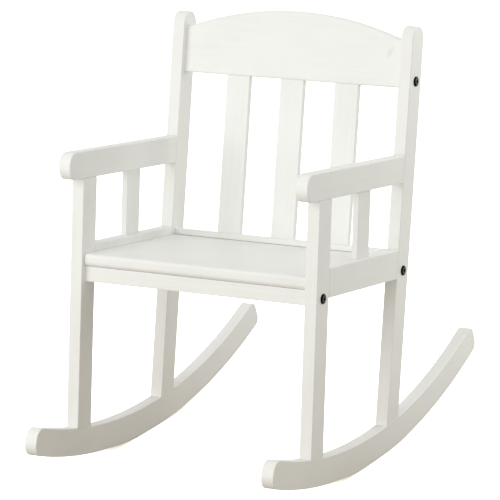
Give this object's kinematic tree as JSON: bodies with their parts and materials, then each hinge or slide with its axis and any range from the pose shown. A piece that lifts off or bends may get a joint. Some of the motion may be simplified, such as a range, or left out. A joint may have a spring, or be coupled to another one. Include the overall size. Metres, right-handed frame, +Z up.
{
  "type": "child rocking chair",
  "caption": "White painted wooden child's rocking chair with an arched crest rail, upright back slats, flat arms on thin spindles and long curved rockers.",
  "frame": {"origin": "centre of the overall box in X and Y, on the floor under the rockers", "axes": "+X to the right of someone facing the chair, +Y towards its back, +Z up"},
  "size_m": [0.3848, 0.6556, 0.593],
  "materials": {
    "white_painted_wood": "satin white paint over wood",
    "black_steel": "black oxide satin",
    "zinc_steel": "bright zinc plate",
    "beech_dowel": "raw beech"
  },
  "bodies": {
    "root": {"rocker_left": "white_painted_wood", "front_leg_left": "white_painted_wood", "rear_post_left": "white_painted_wood", "arm_left": "white_painted_wood", "side_rail_left": "white_painted_wood", "arm_spindle_left": "white_painted_wood", "rocker_right": "white_painted_wood", "front_leg_right": "white_painted_wood", "rear_post_right": "white_painted_wood", "arm_right": "white_painted_wood", "side_rail_right": "white_painted_wood", "arm_spindle_right": "white_painted_wood", "seat_panel": "white_painted_wood", "front_rail": "white_painted_wood", "lower_back_rail": "white_painted_wood", "crest_rail": "white_painted_wood", "back_slat_1": "white_painted_wood", "back_slat_2": "white_painted_wood", "back_slat_3": "white_painted_wood", "connector_bolts": "black_steel", "barrel_nuts": "zinc_steel", "rocker_dowels": "beech_dowel", "arm_dowels": "beech_dowel", "rail_dowels": "beech_dowel"}
  },
  "joints": []
}
